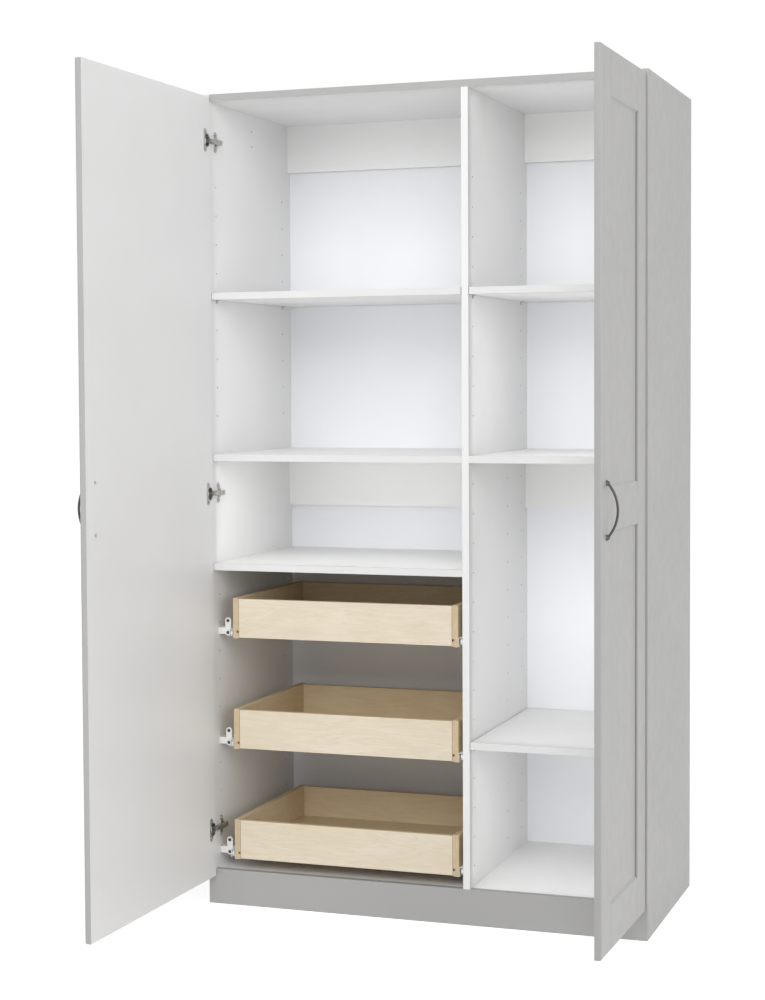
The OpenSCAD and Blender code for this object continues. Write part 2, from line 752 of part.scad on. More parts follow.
side_left();
side_right();
divider();
top_panel();
floor_panel();
toe_kick();
base_rail();
base_bearer();
back_panel();
nailer(left_bay_x0, left_bay_w, ceiling_z, top_nailer_h);  // nailer_top_left
nailer(right_bay_x0, right_bay_w, ceiling_z, top_nailer_h);  // nailer_top_right
nailer(left_bay_x0, left_bay_w, middle_shelf_z, mid_nailer_h);  // nailer_mid_left
nailer(right_bay_x0, right_bay_w, middle_shelf_z, mid_nailer_h);  // nailer_mid_right
loose_shelf(left_bay_x0, left_bay_w, upper_shelf_z);  // shelf_upper_left
loose_shelf(right_bay_x0, right_bay_w, upper_shelf_z);  // shelf_upper_right
fixed_shelf(left_bay_x0, left_bay_w, middle_shelf_z);  // shelf_middle_left
fixed_shelf(right_bay_x0, right_bay_w, middle_shelf_z);  // shelf_middle_right
fixed_shelf(left_bay_x0, left_bay_w, tray_bay_shelf_z);  // shelf_tray_bay
loose_shelf(right_bay_x0, right_bay_w, lower_shelf_z);  // shelf_lower_right
shelf_pins();
slide_brackets();
hinge_arms(LEFT);  // hinge_arms_left
hinge_plates(LEFT);  // hinge_plates_left
hinge_arms(RIGHT);  // hinge_arms_right
hinge_plates(RIGHT);  // hinge_plates_right
door(LEFT);  // door_left
pull(LEFT);  // pull_left
pull_screws(LEFT);  // pull_screws_left
hinge_cups(LEFT);  // hinge_cups_left
door(RIGHT);  // door_right
pull(RIGHT);  // pull_right
pull_screws(RIGHT);  // pull_screws_right
hinge_cups(RIGHT);  // hinge_cups_right
tray_side(tray_levels[0], LEFT);  // lower_tray_side_left
tray_side(tray_levels[0], RIGHT);  // lower_tray_side_right
tray_front(tray_levels[0]);  // lower_tray_front
tray_back(tray_levels[0]);  // lower_tray_back
tray_floor(tray_levels[0]);  // lower_tray_floor
runners(tray_levels[0]);  // lower_runners
rails(tray_levels[0]);  // lower_rails
roller_pair(tray_levels[0] + front_axle_z, front_axle_y);  // lower_front_rollers
roller_pair(tray_levels[0] + rear_axle_z, rear_axle_y);  // lower_rear_rollers
tray_side(tray_levels[1], LEFT);  // middle_tray_side_left
tray_side(tray_levels[1], RIGHT);  // middle_tray_side_right
tray_front(tray_levels[1]);  // middle_tray_front
tray_back(tray_levels[1]);  // middle_tray_back
tray_floor(tray_levels[1]);  // middle_tray_floor
runners(tray_levels[1]);  // middle_runners
rails(tray_levels[1]);  // middle_rails
roller_pair(tray_levels[1] + front_axle_z, front_axle_y);  // middle_front_rollers
roller_pair(tray_levels[1] + rear_axle_z, rear_axle_y);  // middle_rear_rollers
tray_side(tray_levels[2], LEFT);  // upper_tray_side_left
tray_side(tray_levels[2], RIGHT);  // upper_tray_side_right
tray_front(tray_levels[2]);  // upper_tray_front
tray_back(tray_levels[2]);  // upper_tray_back
tray_floor(tray_levels[2]);  // upper_tray_floor
runners(tray_levels[2]);  // upper_runners
rails(tray_levels[2]);  // upper_rails
roller_pair(tray_levels[2] + front_axle_z, front_axle_y);  // upper_front_rollers
roller_pair(tray_levels[2] + rear_axle_z, rear_axle_y);  // upper_rear_rollers
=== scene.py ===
import json
import math

import bpy
from mathutils import Matrix, Vector


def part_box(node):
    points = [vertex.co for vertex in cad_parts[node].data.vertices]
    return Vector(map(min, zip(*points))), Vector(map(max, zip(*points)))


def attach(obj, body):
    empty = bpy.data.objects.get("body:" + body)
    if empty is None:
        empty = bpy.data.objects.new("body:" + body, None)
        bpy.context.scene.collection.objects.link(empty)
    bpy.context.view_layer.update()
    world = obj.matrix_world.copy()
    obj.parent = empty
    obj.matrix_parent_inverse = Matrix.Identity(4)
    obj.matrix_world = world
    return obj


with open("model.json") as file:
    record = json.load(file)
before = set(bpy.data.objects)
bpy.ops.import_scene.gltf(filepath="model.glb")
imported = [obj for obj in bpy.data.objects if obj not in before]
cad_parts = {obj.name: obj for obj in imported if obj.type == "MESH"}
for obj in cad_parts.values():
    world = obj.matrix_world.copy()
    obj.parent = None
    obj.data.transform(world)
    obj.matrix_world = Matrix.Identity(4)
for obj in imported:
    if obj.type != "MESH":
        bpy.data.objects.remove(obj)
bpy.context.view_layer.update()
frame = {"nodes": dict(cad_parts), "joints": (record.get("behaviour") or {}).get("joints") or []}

cad = frame["nodes"]


# Carcass boards: particle board with a pearl-embossed melamine skin, grey where the cabinet shows
# from outside and white inside. The front edges carry a glued band, and the rear and end edges are
# sawn and left raw. The boards are screwed and glued edge to face.

def add(tree, kind, inputs=None, **settings):
    """A new node; inputs are values or sockets by name or number, and settings are its properties."""
    node = tree.nodes.new(kind)
    for key, value in settings.items():
        setattr(node, key, value)
    for key, value in (inputs or {}).items():
        if isinstance(value, bpy.types.NodeSocket):
            tree.links.new(value, node.inputs[key])
        else:
            node.inputs[key].default_value = value
    return node


def own_place(tree):
    """The shaded point in the piece's own axes, in metres."""
    return add(tree, "ShaderNodeTexCoord").outputs["Object"]


def noise(tree, size, detail=2.0, stretch=(1, 1, 1), distortion=0.0):
    """Noise with grains of about that size in metres; a stretch under 1 draws them out on an axis."""
    place = add(tree, "ShaderNodeMapping", {"Vector": own_place(tree), "Scale": stretch}).outputs[0]
    return add(tree, "ShaderNodeTexNoise", {"Vector": place, "Scale": 1 / size, "Detail": detail,
                                            "Distortion": distortion}).outputs["Fac"]


def spread(tree, value, low, high, to_low=0.0, to_high=1.0):
    """Maps values between low and high to the range between to_low and to_high."""
    return add(tree, "ShaderNodeMapRange",
               {0: value, 1: low, 2: high, 3: to_low, 4: to_high}).outputs[0]


def mix_colour(tree, factor, a, b):
    return add(tree, "ShaderNodeMix", {0: factor, 6: a, 7: b}, data_type="RGBA").outputs[2]


def mix_value(tree, factor, a, b):
    return add(tree, "ShaderNodeMix", {0: factor, 2: a, 3: b}, data_type="FLOAT").outputs[0]


def calculate(tree, operation, *values):
    return add(tree, "ShaderNodeMath", dict(enumerate(values)), operation=operation).outputs[0]


def times(tree, a, b):
    return calculate(tree, "MULTIPLY", a, b)


def dot(tree, a, b):
    return add(tree, "ShaderNodeVectorMath", {0: a, 1: b}, operation="DOT_PRODUCT").outputs["Value"]


def scaled(tree, colour, share):
    """The colour, made darker by a share under 1 or lighter by one over 1."""
    return add(tree, "ShaderNodeVectorMath", {0: colour, "Scale": share},
               operation="SCALE").outputs[0]


def facing(tree, direction):
    """1 where the surface faces along direction, in the piece's own axes, and 0 elsewhere."""
    normal = add(tree, "ShaderNodeTexCoord").outputs["Normal"]
    return spread(tree, dot(tree, normal, direction), 0.6, 0.8)


def edges(tree, width):
    """1 along sharp edges and 0 on flat ground, broken up as wear is."""
    round_normal = add(tree, "ShaderNodeBevel", {"Radius": width}, samples=4).outputs[0]
    flat_normal = add(tree, "ShaderNodeNewGeometry").outputs["Normal"]
    sharp = spread(tree, dot(tree, round_normal, flat_normal), 0.98, 0.75)
    return times(tree, sharp, spread(tree, noise(tree, 0.02, 4), 0.3, 0.7, 0.35, 1))


def along_axis(tree, axis):
    """The shaded point's own X, Y or Z; the axis is 0, 1 or 2, or the letter."""
    return add(tree, "ShaderNodeSeparateXYZ", {0: own_place(tree)}).outputs[axis]


def between(tree, axis, low, high):
    """1 where the piece's own coordinate along axis lies between low and high, in metres."""
    part = along_axis(tree, axis)
    over = calculate(tree, "GREATER_THAN", part, low)
    under = calculate(tree, "LESS_THAN", part, high)
    return times(tree, over, under)


def melamine(tree, dark, light):
    """Printed melamine skin: nearly even in colour, with a fine pearl emboss and a satin sheen."""
    colour = mix_colour(tree, spread(tree, noise(tree, 0.5, 4), 0.35, 0.65), dark, light)
    pearl = noise(tree, 0.0016, 3)
    roughness = spread(tree, noise(tree, 0.03, 3), 0.3, 0.7, 0.4, 0.5)
    return colour, roughness, times(tree, pearl, 0.00003)


def grey_skin(tree):
    return melamine(tree, (0.420, 0.417, 0.412, 1), (0.443, 0.440, 0.434, 1))


def painted_shade_grey_band(tree):
    """Glued edge band, painted a shade darker than the boards: painted shade on faces that look to the
    front, such as the toe kick.
    """
    return melamine(tree, (0.375, 0.373, 0.368, 1), (0.395, 0.393, 0.387, 1))


def white_skin(tree):
    return melamine(tree, (0.778, 0.777, 0.774, 1), (0.808, 0.807, 0.804, 1))


def painted_shade_pale_band(tree):
    """Glued band of the left side and the shelves, painted a shade darker than the white boards:
    painted shade on these front edges.
    """
    return melamine(tree, (0.710, 0.709, 0.707, 1), (0.735, 0.734, 0.732, 1))


def sawn_core(tree):
    """Sawn edge of particle board: pressed wood flakes with pits between them."""
    flakes = noise(tree, 0.004, 5, distortion=1.5)
    colour = mix_colour(tree, spread(tree, flakes, 0.35, 0.65),
                        (0.36, 0.25, 0.15, 1), (0.62, 0.48, 0.31, 1))
    return colour, spread(tree, flakes, 0.3, 0.7, 0.95, 0.8), times(tree, flakes, 0.0006)


def bore_in_painted_shade(tree):
    """Raw wood inside a drilled hole, painted darker than the sawn core as shade in the hole."""
    colour, roughness, height = sawn_core(tree)
    return scaled(tree, colour, 0.6), roughness, height


HOLES_FROM, HOLES_TO = 0.02, 0.596


def drilled(low, high):
    """Where a board is drilled: inside its thickness, and clear of its front and rear edges."""
    def where(tree):
        return times(tree, between(tree, 0, low, high), between(tree, 1, HOLES_FROM, HOLES_TO))
    return where


def finish(name, skins, metallic=0.0, wear=(0.0015, 0.12, 1.1), coat=0.0, painted_crevice_shade=0.86):
    """A material whose first skin covers the piece, and each later one the faces along its direction
    or the places that its mask gives. Wear is the width of the rubbed edges, how much of them is
    rubbed, and what that multiplies the colour by. The last argument multiplies the colour where
    pieces meet and in hollows: painted shade."""
    material = bpy.data.materials.new(name)
    material.use_nodes = True
    tree = material.node_tree
    shader = tree.nodes["Principled BSDF"]
    shader.inputs["Metallic"].default_value = metallic
    shader.inputs["Coat Weight"].default_value = coat
    colour, roughness, height = skins[0](tree)
    for direction, skin in skins[1:]:
        where = direction(tree) if callable(direction) else facing(tree, direction)
        over = skin(tree)
        colour = mix_colour(tree, where, colour, over[0])
        roughness = mix_value(tree, where, roughness, over[1])
        height = mix_value(tree, where, height, over[2])
    width, share, gain = wear
    worn = times(tree, edges(tree, width), share)
    colour = mix_colour(tree, worn, colour, scaled(tree, colour, gain))
    # Painted shade: the colour darkened by ambient occlusion where pieces meet and in hollows.
    open_sky = add(tree, "ShaderNodeAmbientOcclusion", {"Distance": 0.005}, samples=4).outputs["AO"]
    colour = scaled(tree, colour, spread(tree, open_sky, 0.25, 0.65, painted_crevice_shade, 1.0))
    tree.links.new(colour, shader.inputs["Base Color"])
    tree.links.new(mix_value(tree, worn, roughness, 0.6), shader.inputs["Roughness"])
    bump = add(tree, "ShaderNodeBump", {"Height": height, "Distance": 1.0, "Strength": 1.0})
    tree.links.new(bump.outputs[0], shader.inputs["Normal"])
    return material


def dress(material, *names):
    """Gives the CAD nodes of those names that material alone."""
    for name in names:
        cad[name].data.materials.clear()
        cad[name].data.materials.append(material)


FRONT, REAR, UP, DOWN = (0, -1, 0), (0, 1, 0), (0, 0, 1), (0, 0, -1)
TO_LEFT, TO_RIGHT = (-1, 0, 0), (1, 0, 0)
raw_ends = [(REAR, sawn_core), (UP, sawn_core), (DOWN, sawn_core)]
LEFT_BAY = (-0.5905, 0.1195)
RIGHT_BAY = (0.1385, 0.5905)
SKIN = 0.0004
CORE = 0.018
dress(finish("carcass_side_left", [white_skin, (TO_LEFT, grey_skin), (FRONT, painted_shade_pale_band)] + raw_ends
             + [(drilled(LEFT_BAY[0] - CORE, LEFT_BAY[0] - SKIN), bore_in_painted_shade)]), "side_left")
dress(finish("carcass_side_right", [white_skin, (TO_RIGHT, grey_skin), (FRONT, painted_shade_grey_band)] + raw_ends
             + [(drilled(RIGHT_BAY[1] + SKIN, RIGHT_BAY[1] + CORE), bore_in_painted_shade)]), "side_right")
divider_core = drilled(LEFT_BAY[1] + SKIN, RIGHT_BAY[0] - SKIN)
dress(finish("carcass_divider", [white_skin, (REAR, sawn_core), (divider_core, bore_in_painted_shade)]), "divider")
dress(finish("carcass_top", [white_skin, (FRONT, painted_shade_grey_band), (UP, grey_skin), (REAR, sawn_core)]),
      "top_panel")
dress(finish("carcass_kick", [painted_shade_grey_band, (DOWN, sawn_core)]), "toe_kick")
dress(finish("carcass_inner", [white_skin, (REAR, sawn_core)]),
      "floor_panel", "nailer_top_left", "nailer_top_right", "nailer_mid_left", "nailer_mid_right")
dress(finish("carcass_base", [sawn_core, (FRONT, white_skin), (REAR, white_skin)]),
      "base_rail", "base_bearer")


# Back panel: a thin sheet slid into grooves in the sides. Its inner face is white melamine, and the
# wall side is bare hardboard.

def white_sheet(tree):
    return melamine(tree, (0.765, 0.772, 0.800, 1), (0.795, 0.802, 0.830, 1))


def hardboard(tree):
    """Pressed wood fibre: brown, matt and finely felted, with broad darker stains."""
    fibres = noise(tree, 0.0012, 4, distortion=0.8)
    stain = noise(tree, 0.25, 4)
    colour = mix_colour(tree, spread(tree, fibres, 0.3, 0.7),
                        (0.19, 0.115, 0.062, 1), (0.30, 0.19, 0.108, 1))
    colour = mix_colour(tree, spread(tree, stain, 0.4, 0.7, 0, 0.4), colour, (0.22, 0.15, 0.09, 1))
    return colour, spread(tree, fibres, 0.3, 0.7, 0.75, 0.6), times(tree, fibres, 0.00012)


dress(finish("back_sheet", [hardboard, (FRONT, white_sheet)]), "back_panel")


# Shelves: the same white board. Three are screwed between the uprights, and three lie loose on
# nickel-plated spoon pins that plug into rows of 5 mm holes.

dress(finish("shelf_board", [white_skin, (REAR, sawn_core), (FRONT, painted_shade_pale_band)]),
      "shelf_upper_left", "shelf_upper_right", "shelf_middle_left", "shelf_middle_right",
      "shelf_tray_bay", "shelf_lower_right")


def nickel_plate(tree):
    """Bright plating over pressed steel: soft drawing marks and a light haze."""
    haze = noise(tree, 0.006, 4)
    drawn = noise(tree, 0.0006, 2, stretch=(1, 1, 0.15))
    colour = mix_colour(tree, spread(tree, haze, 0.3, 0.7),
                        (0.50, 0.49, 0.47, 1), (0.64, 0.63, 0.60, 1))
    return colour, spread(tree, haze, 0.3, 0.7, 0.24, 0.38), times(tree, drawn, 0.00002)


plated = finish("nickel_plate", [nickel_plate], metallic=1.0, wear=(0.0006, 0.5, 1.3), painted_crevice_shade=0.25)
dress(plated, "shelf_pins")


# Doors: slabs of fibreboard, routed to two recessed panels and wrapped in grey foil, with fine scored
# joints between stiles and rails. The inner face is white melamine. The slabs are bored for three
# hinge cups and two pull screws each.

def grey_foil(tree):
    """Vacuum-formed foil: smooth, slightly glossier than the boards, with a faint ripple."""
    colour = mix_colour(tree, spread(tree, noise(tree, 0.6, 3), 0.35, 0.65),
                        (0.410, 0.407, 0.400, 1), (0.431, 0.427, 0.420, 1))
    ripple = mix_value(tree, 0.5, noise(tree, 0.0022, 2), noise(tree, 0.012, 2))
    roughness = spread(tree, noise(tree, 0.04, 3), 0.3, 0.7, 0.36, 0.45)
    return colour, roughness, times(tree, ripple, 0.00005)


def off_line(tree, start, along, line):
    """How far the shaded point is from a line that crosses the direction along, line from start."""
    reach = dot(tree, own_place(tree), along)
    return calculate(tree, "ABSOLUTE", calculate(tree, "SUBTRACT", reach, start.dot(along) + line))


def scored(start, along, lines):
    """Grey foil scored with lines that cross the direction along, at those distances from start."""
    def skin(tree):
        colour, roughness, height = grey_foil(tree)
        for line in lines:
            groove = spread(tree, off_line(tree, start, along, line), 0.0003, 0.0010, 1.0, 0.0)
            colour = mix_colour(tree, times(tree, groove, 0.65), colour, (0.12, 0.12, 0.115, 1))
            height = mix_value(tree, groove, height, -0.0004)
        return colour, roughness, height
    return skin


STILE = 0.095
SLOPE = 0.0040
PANEL_SPANS = ((0.188, 1.079), (1.183, 2.098))


def either(tree, a, b):
    """Where one mask or the other is 1."""
    return calculate(tree, "MAXIMUM", a, b)


def panel_corner(start, along):
    """Where the sloped borders of the panels run down to the flat beside the hinge stile."""
    def where(tree):
        near = spread(tree, off_line(tree, start, along, STILE + SLOPE), 0.0015, 0.0025, 1.0, 0.0)
        lower_panel, upper_panel = [between(tree, 2, *span) for span in PANEL_SPANS]
        return times(tree, near, either(tree, lower_panel, upper_panel))
    return where


def painted_shadow_foil(tree):
    """Foil in a routed corner, with a painted shadow that darkens it nearly to black."""
    colour, roughness, height = grey_foil(tree)
    return scaled(tree, colour, 0.06), roughness, height


def right_door_painted_shade_band(tree):
    """Edge band of the right door, painted darker than the left one's as shade."""
    return melamine(tree, (0.312, 0.310, 0.306, 1), (0.330, 0.328, 0.323, 1))


HANDS = {"left": -1, "right": 1}
DOOR_WIDTHS = {"left": 0.734, "right": 0.476}
# The pins' axis, and the hinge edge of the closed right door; the left door mirrors them.
PIN_X, PIN_Y = 0.5973, -0.014
DOOR_EDGE_X, DOOR_FACE_Y = 0.6065, -0.022
opened = {}


def swing(side, point):
    """Where a point of the closed door lies with the door open as at rest."""
    pivot = Vector((HANDS[side] * PIN_X, PIN_Y, 0))
    return pivot + opened[side] @ (Vector(point) - pivot)


for side, hand in HANDS.items():
    joint = next(j for j in frame["joints"] if j["name"] == side + "_door_hinge")
    opened[side] = Matrix.Rotation(-math.radians(joint["range_deg"][0]), 3, Vector(joint["axis"]))
    inner = tuple(opened[side] @ Vector(REAR))
    along = opened[side] @ Vector((-hand, 0, 0))
    hinge_edge = swing(side, (hand * DOOR_EDGE_X, DOOR_FACE_Y, 0))
    foil = scored(hinge_edge, along, (STILE, DOOR_WIDTHS[side] - STILE))
    # The right door's band is painted darker than the left one's, as shade.
    band = painted_shade_grey_band if side == "left" else right_door_painted_shade_band
    # The routed corners beside the hinge stile carry a painted shadow.
    dress(finish("door_" + side, [foil, (panel_corner(hinge_edge, along), painted_shadow_foil), (FRONT, band),
                                  (inner, white_skin)]), "door_" + side)


# Pulls: a bowed rod of dark brushed nickel on each door, cast in one piece with its two feet. Two
# nickel-plated screws through the door hold it.

def dark_nickel(tree):
    """Blackened nickel, brushed up and down, with clouds of a duller sheen."""
    brushed = noise(tree, 0.0004, 2, stretch=(1, 1, 0.06))
    cloud = noise(tree, 0.02, 3)
    colour = mix_colour(tree, spread(tree, brushed, 0.3, 0.7),
                        (0.072, 0.070, 0.068, 1), (0.128, 0.126, 0.122, 1))
    return colour, spread(tree, cloud, 0.3, 0.7, 0.26, 0.36), times(tree, brushed, 0.00003)


blackened = finish("dark_nickel", [dark_nickel], metallic=1.0, wear=(0.0008, 0.6, 1.6), painted_crevice_shade=0.3)
dress(blackened, "pull_left", "pull_right")
dress(plated, "pull_screws_left", "pull_screws_right")


# Concealed hinges: pressed steel cups, arms and winged plates, all nickel plated. Each is held by
# cross-recessed screws: two in the cup's flange, two in the plate and two that set the arm.

def screw_head(radius, thickness):
    """A domed round head that faces +Z, with a cross cut into it."""
    bpy.ops.object.select_all(action="DESELECT")
    bpy.ops.mesh.primitive_cylinder_add(vertices=40, radius=radius, depth=thickness,
                                        location=(0, 0, thickness / 2))
    head = bpy.context.object
    rounding = head.modifiers.new("rounding", "BEVEL")
    rounding.width = thickness * 0.45
    rounding.segments = 3
    rounding.limit_method = "ANGLE"
    bpy.ops.object.modifier_apply(modifier="rounding")
    for turn in (0, math.pi / 2):
        bpy.ops.mesh.primitive_cube_add(size=1, location=(0, 0, thickness), rotation=(0, 0, turn))
        slot_cutter = bpy.context.object
        slot_cutter.scale = (radius * 1.15, radius * 0.26, thickness * 1.1)
        bpy.ops.object.transform_apply(location=True, rotation=True, scale=True)
        bpy.ops.object.select_all(action="DESELECT")
        head.select_set(True)
        bpy.context.view_layer.objects.active = head
        cut = head.modifiers.new("cut", "BOOLEAN")
        cut.object = slot_cutter
        cut.operation = "DIFFERENCE"
        bpy.ops.object.modifier_apply(modifier="cut")
        bpy.data.objects.remove(slot_cutter)
    bpy.ops.object.transform_apply(location=True)
    return head


TURN = 0.7


def screws(name, body, material, slot_name, places, radius, thickness):
    """One piece of screw heads; each place is a point and the direction that the head faces. Each
    head is turned on by TURN from the one before, as screws driven by hand are."""
    heads = []
    for turn, (point, direction) in enumerate(places):
        head = screw_head(radius, thickness)
        head.matrix_world = (Matrix.Translation(point)
                             @ Vector(direction).to_track_quat("Z", "Y").to_matrix().to_4x4()
                             @ Matrix.Rotation(TURN * turn, 4, "Z"))
        heads.append(head)
    bpy.ops.object.select_all(action="DESELECT")
    for head in heads:
        head.select_set(True)
    bpy.context.view_layer.objects.active = heads[0]
    bpy.ops.object.join()
    piece = bpy.context.object
    bpy.ops.object.transform_apply(location=True, rotation=True, scale=True)
    bpy.ops.object.shade_smooth_by_angle(angle=math.radians(35))
    piece.name = name
    piece.data.name = name
    piece.data.materials.append(material)
    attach(piece, body)


dress(plated, "hinge_cups_left", "hinge_cups_right", "hinge_arms_left", "hinge_arms_right",
      "hinge_plates_left", "hinge_plates_right")
HINGE_HEIGHTS = (0.210, 1.133, 2.090)
PLATE_X, PLATE_Y, PLATE_STEP = 0.5880, 0.037, 0.021
ARM_X, ARM_YS = 0.5787, (0.020, 0.048)
FLANGE_X, FLANGE_Y, FLANGE_STEP = 0.5765, -0.0028, 0.0225
PLATE_SCREW, ARM_SCREW, FLANGE_SCREW = (0.0042, 0.0022), (0.0027, 0.0014), (0.0038, 0.0020)
for side, hand in HANDS.items():
    inward = (-hand, 0, 0)
    plate_places, arm_places, flange_places = [], [], []
    for z in HINGE_HEIGHTS:
        for step in (-1, 1):
            plate_places.append(((hand * PLATE_X, PLATE_Y, z + step * PLATE_STEP), inward))
            flange = swing(side, (hand * FLANGE_X, FLANGE_Y, z + step * FLANGE_STEP))
            flange_places.append((flange, opened[side] @ Vector(REAR)))
        for y in ARM_YS:
            arm_places.append(((hand * ARM_X, y, z), inward))
    screws("hinge_plate_screws_" + side, "cabinet", plated, "nickel_steel", plate_places,
           *PLATE_SCREW)
    screws("hinge_arm_screws_" + side, "cabinet", plated, "nickel_steel", arm_places, *ARM_SCREW)
    screws("hinge_flange_screws_" + side, side + "_door", plated, "nickel_steel", flange_places,
           *FLANGE_SCREW)


# Trays: boards of clear-lacquered maple-faced plywood. The grain runs along each board, the edges
# show the plies, and the front and back stand between the sides.

PALE_MAPLE = ((0.745, 0.675, 0.555, 1), (0.685, 0.585, 0.435, 1), (0.660, 0.545, 0.385, 1))
# The second set of shades is painted shade: the maple made warmer and darker, as it looks in shade
# with warm bounce light, for all the trays' faces but the fronts.
PAINTED_SHADE_MAPLE = ((0.740, 0.625, 0.440, 1), (0.670, 0.520, 0.325, 1), (0.620, 0.470, 0.280, 1))


def maple(grain, shades=PALE_MAPLE):
    """Face veneer, its grain along X or Y: a faint flowing figure, fine fibres and small flecks."""
    light, dark, patch = shades

    def skin(tree):
        along = 0 if grain == "X" else 1
        def stretched(share):
            return [share if axis == along else 1 for axis in range(3)]
        flow = noise(tree, 0.045, 4, stretched(0.14), 0.6)
        rings = calculate(tree, "PINGPONG", times(tree, flow, 16.0), 1.0)
        fibre = noise(tree, 0.0011, 3, stretched(0.03))
        flecks = spread(tree, noise(tree, 0.004, 2, stretched(0.2)), 0.62, 0.74)
        blotch = noise(tree, 0.16, 3, stretched(0.5), 0.4)
        colour = mix_colour(tree, spread(tree, rings, 0.1, 0.9, 0, 0.55), light, dark)
        colour = mix_colour(tree, spread(tree, blotch, 0.45, 0.75, 0, 0.5), colour, patch)
        colour = mix_colour(tree, spread(tree, fibre, 0.4, 0.8, 0, 0.3), colour,
                            (0.600, 0.470, 0.300, 1))
        colour = mix_colour(tree, times(tree, flecks, 0.35), colour, (0.560, 0.430, 0.270, 1))
        return colour, spread(tree, fibre, 0.3, 0.7, 0.36, 0.5), times(tree, fibre, 0.00004)
    return skin


TWO_PLIES = 0.0032


def plies(across):
    """Cut edge of plywood: light and dark layers by turns across X or Y, with the fibre ends open."""
    def skin(tree):
        pairs = times(tree, along_axis(tree, across), 1 / TWO_PLIES)
        layer = calculate(tree, "PINGPONG", pairs, 0.5)
        pores = noise(tree, 0.0009, 4)
        drift = noise(tree, 0.018, 3)
        colour = mix_colour(tree, spread(tree, layer, 0.2, 0.3),
                            (0.630, 0.500, 0.325, 1), (0.500, 0.370, 0.215, 1))
        colour = mix_colour(tree, spread(tree, drift, 0.4, 0.7, 0, 0.4), colour,
                            (0.700, 0.575, 0.400, 1))
        colour = mix_colour(tree, spread(tree, pores, 0.5, 0.8, 0, 0.35), colour,
                            (0.38, 0.26, 0.15, 1))
        return colour, spread(tree, pores, 0.3, 0.7, 0.5, 0.7), times(tree, pores, 0.00012)
    return skin


HANDLED = (0.0012, 0.3, 0.8)
side_edges = [(direction, plies("X")) for direction in (FRONT, REAR, UP, DOWN)]
side_board = finish("tray_side_board", [maple("Y", PAINTED_SHADE_MAPLE)] + side_edges, wear=HANDLED)
cut_edges = [(UP, plies("Y")), (DOWN, plies("Y"))]
board_low, board_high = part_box("lower_tray_front")
SEAM = 0.0012


def end_seams(tree):
    """Where a front board meets the side boards."""
    return either(tree, between(tree, 0, board_low[0] - SEAM, board_low[0] + SEAM),
                  between(tree, 0, board_high[0] - SEAM, board_high[0] + SEAM))


def glue_and_painted_shadow(tree):
    """Squeezed-out glue in a butt joint, with a painted shadow in the joint."""
    stain = noise(tree, 0.004, 3)
    colour = mix_colour(tree, spread(tree, stain, 0.3, 0.7),
                        (0.14, 0.095, 0.050, 1), (0.26, 0.18, 0.10, 1))
    return colour, spread(tree, stain, 0.3, 0.7, 0.5, 0.7), times(tree, stain, 0.00005)


front_board = finish("tray_front_board", [maple("X"), (REAR, maple("X", PAINTED_SHADE_MAPLE))] + cut_edges
                     + [(end_seams, glue_and_painted_shadow)], wear=HANDLED)
back_board = finish("tray_back_board", [maple("X", PAINTED_SHADE_MAPLE)] + cut_edges, wear=HANDLED)
tray_floor = finish("tray_floor_sheet", [maple("X", PAINTED_SHADE_MAPLE)], wear=(0.001, 0.2, 0.8))
TRAYS = ("lower", "middle", "upper")
for level in TRAYS:
    dress(side_board, level + "_tray_side_left", level + "_tray_side_right")
    dress(front_board, level + "_tray_front")
    dress(back_board, level + "_tray_back")
    dress(tray_floor, level + "_tray_floor")


# Slides: roll-formed steel with a baked white epoxy coat, running on moulded nylon rollers. The left
# rails stand off the side on moulded spacers, so that the trays clear the open door. Two dark screws
# hold each spacer.

def epoxy(tree):
    """Baked paint on steel: white, glossy and finely rippled."""
    peel = noise(tree, 0.0014, 2)
    colour = mix_colour(tree, spread(tree, noise(tree, 0.03, 3), 0.3, 0.7), (0.76, 0.765, 0.775, 1),
                        (0.80, 0.805, 0.815, 1))
    return colour, spread(tree, peel, 0.3, 0.7, 0.28, 0.36), times(tree, peel, 0.00004)


def nylon(tree):
    """Moulded plastic, off white, with the fine grain of its mould."""
    grain = noise(tree, 0.0008, 3)
    colour = mix_colour(tree, spread(tree, noise(tree, 0.01, 3), 0.3, 0.7), (0.77, 0.77, 0.75, 1),
                        (0.82, 0.82, 0.80, 1))
    return colour, spread(tree, grain, 0.3, 0.7, 0.42, 0.55), times(tree, grain, 0.00003)


enamel = finish("white_epoxy", [epoxy], wear=(0.0008, 0.4, 0.7), coat=0.2)
moulded = finish("moulded_nylon", [nylon], wear=(0.0008, 0.2, 1.1))
for level in TRAYS:
    dress(enamel, level + "_runners", level + "_rails")
    dress(moulded, level + "_front_rollers", level + "_rear_rollers")
dress(moulded, "slide_brackets")
SPACER_X, SPACER_STEP = -0.5630, 0.0165
SPACER_YS, SPACER_ZS = (0.037, 0.463), (0.1538, 0.4588, 0.7638)
SPACER_SCREW = (0.0046, 0.0022)
spacer_places = [((SPACER_X, y, z + step * SPACER_STEP), FRONT)
                 for z in SPACER_ZS for y in SPACER_YS for step in (-1, 1)]
screws("spacer_screws", "cabinet", blackened, "dark_nickel", spacer_places, *SPACER_SCREW)


# Studio: a white floor that runs out of the view, a pale surround, a large soft lamp high in front, a
# weaker one from the right, a soft fill in the mouth of each space, and the camera. The fill of the
# tray space is faint, so it stays dark as in the photograph.

def shown(tree):
    """1 for a ray that shows the studio: from the camera, off a shiny piece or through a clear one."""
    ray = add(tree, "ShaderNodeLightPath").outputs
    off_or_through = either(tree, ray["Is Glossy Ray"], ray["Is Transmission Ray"])
    return either(tree, ray["Is Camera Ray"], off_or_through)


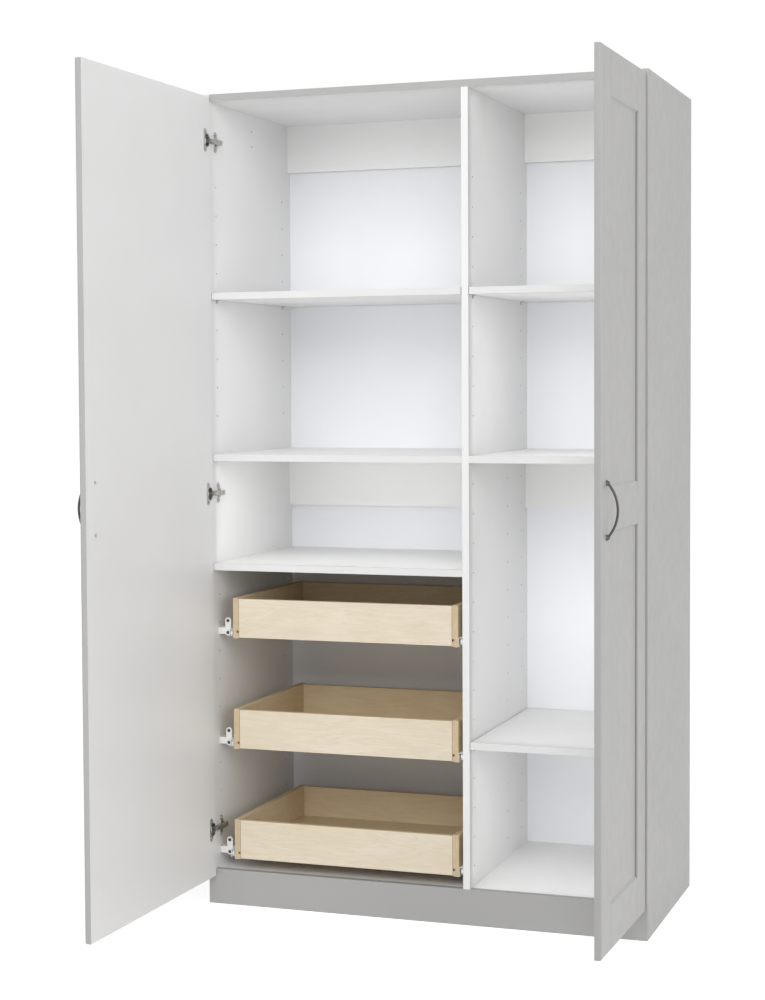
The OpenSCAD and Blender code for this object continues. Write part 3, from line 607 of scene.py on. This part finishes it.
FLOOR_WIDTH = 60
PAPER_GLOW = 0.5
AMBIENT = 0.668
bpy.ops.object.select_all(action="DESELECT")
bpy.ops.mesh.primitive_plane_add(size=FLOOR_WIDTH, location=(0, 0, 0))
floor = bpy.context.object
floor.name = "studio_floor"
paper = bpy.data.materials.new("studio_paper")
paper.use_nodes = True
tree = paper.node_tree
shader = tree.nodes["Principled BSDF"]
shader.inputs["Base Color"].default_value = (0.8, 0.8, 0.8, 1)
shader.inputs["Roughness"].default_value = 0.9
shader.inputs["Emission Color"].default_value = (1, 1, 1, 1)
tree.links.new(times(tree, shown(tree), PAPER_GLOW), shader.inputs["Emission Strength"])
floor.data.materials.append(paper)

world = bpy.data.worlds.new("studio")
bpy.context.scene.world = world
world.use_nodes = True
tree = world.node_tree
surround = tree.nodes["Background"]
surround.inputs["Color"].default_value = (1, 1, 1, 1)
tree.links.new(mix_value(tree, shown(tree), AMBIENT, 1.0), surround.inputs["Strength"])


def softbox(name, place, aim, width, height, share):
    """A lamp whose light on a surface that faces it is that share of a full white surround."""
    bpy.ops.object.light_add(type="AREA", location=place)
    lamp = bpy.context.object
    lamp.name = name
    aim_line = Vector(aim) - Vector(place)
    lamp.rotation_euler = aim_line.to_track_quat("-Z", "Y").to_euler()
    lamp.data.shape = "RECTANGLE"
    lamp.data.size, lamp.data.size_y = width, height
    lamp.data.energy = share * math.pi ** 2 * aim_line.length_squared
    return lamp


MIDDLE = (0, 0.2, 1.1)
softbox("key_lamp", (1.0, -6.5, 4.4), MIDDLE, 5.0, 3.5, 0.46)
softbox("side_lamp", (8.0, -5.0, 2.2), MIDDLE, 3.0, 3.0, 0.14)

# Each space: its bay, its lowest and highest point, and the share of its fill.
SPACES = {"upper_left": (LEFT_BAY, 1.680, 2.197, 0.43),
          "middle_left": (LEFT_BAY, 1.240, 1.661, 0.66),
          "low_left": (LEFT_BAY, 0.941, 1.221, 1.08),
          "trays": (LEFT_BAY, 0.096, 0.922, 0.14),
          "upper_right": (RIGHT_BAY, 1.680, 2.197, 0.73),
          "middle_right": (RIGHT_BAY, 1.240, 1.661, 1.12),
          "low_right": (RIGHT_BAY, 0.486, 1.221, 0.77),
          "floor_right": (RIGHT_BAY, 0.096, 0.467, 1.04)}
MOUTH_Y = 0.012
MOUTH_SHARE = 0.96
FILL_SPREAD = math.radians(138)
for name, (bay, z0, z1, share) in SPACES.items():
    wide, tall = bay[1] - bay[0], z1 - z0
    x, z = sum(bay) / 2, (z0 + z1) / 2
    lamp = softbox("fill_" + name, (x, MOUTH_Y, z), (x, 1, z),
                   MOUTH_SHARE * wide, MOUTH_SHARE * tall, share)
    lamp.data.energy = share * math.pi * wide * tall
    lamp.data.spread = FILL_SPREAD
    lamp.visible_camera = False

# The camera stands where the photograph was taken from, as solved from the cabinet's own edges.
IMAGE_W, IMAGE_H = 765, 1000
FOCAL_PX = 2024.09
CENTRE_PX = (330.83, 480.00)
CAMERA_PLACE = (1.613561, -5.082914, 1.429651)
YAW, PITCH, ROLL = math.radians(20.088), math.radians(-2.713), math.radians(-0.354)
SENSOR = 36
ahead = Vector((0, 1, 0))
ahead.rotate(Matrix.Rotation(PITCH, 3, "X"))
ahead.rotate(Matrix.Rotation(YAW, 3, "Z"))
level_right = Vector((math.cos(YAW), math.sin(YAW), 0))
upright = level_right.cross(ahead)
right = level_right * math.cos(ROLL) + upright * math.sin(ROLL)
up = upright * math.cos(ROLL) - level_right * math.sin(ROLL)
turned = Matrix((right, up, -ahead)).transposed().to_4x4()
bpy.ops.object.camera_add()
camera = bpy.context.object
camera.matrix_world = Matrix.Translation(CAMERA_PLACE) @ turned
camera.data.sensor_width = SENSOR
camera.data.lens = FOCAL_PX * SENSOR / IMAGE_H
camera.data.shift_x = (IMAGE_W / 2 - CENTRE_PX[0]) / IMAGE_H
camera.data.shift_y = (CENTRE_PX[1] - IMAGE_H / 2) / IMAGE_H
bpy.context.scene.camera = camera
bpy.context.scene.view_settings.view_transform = "Standard"
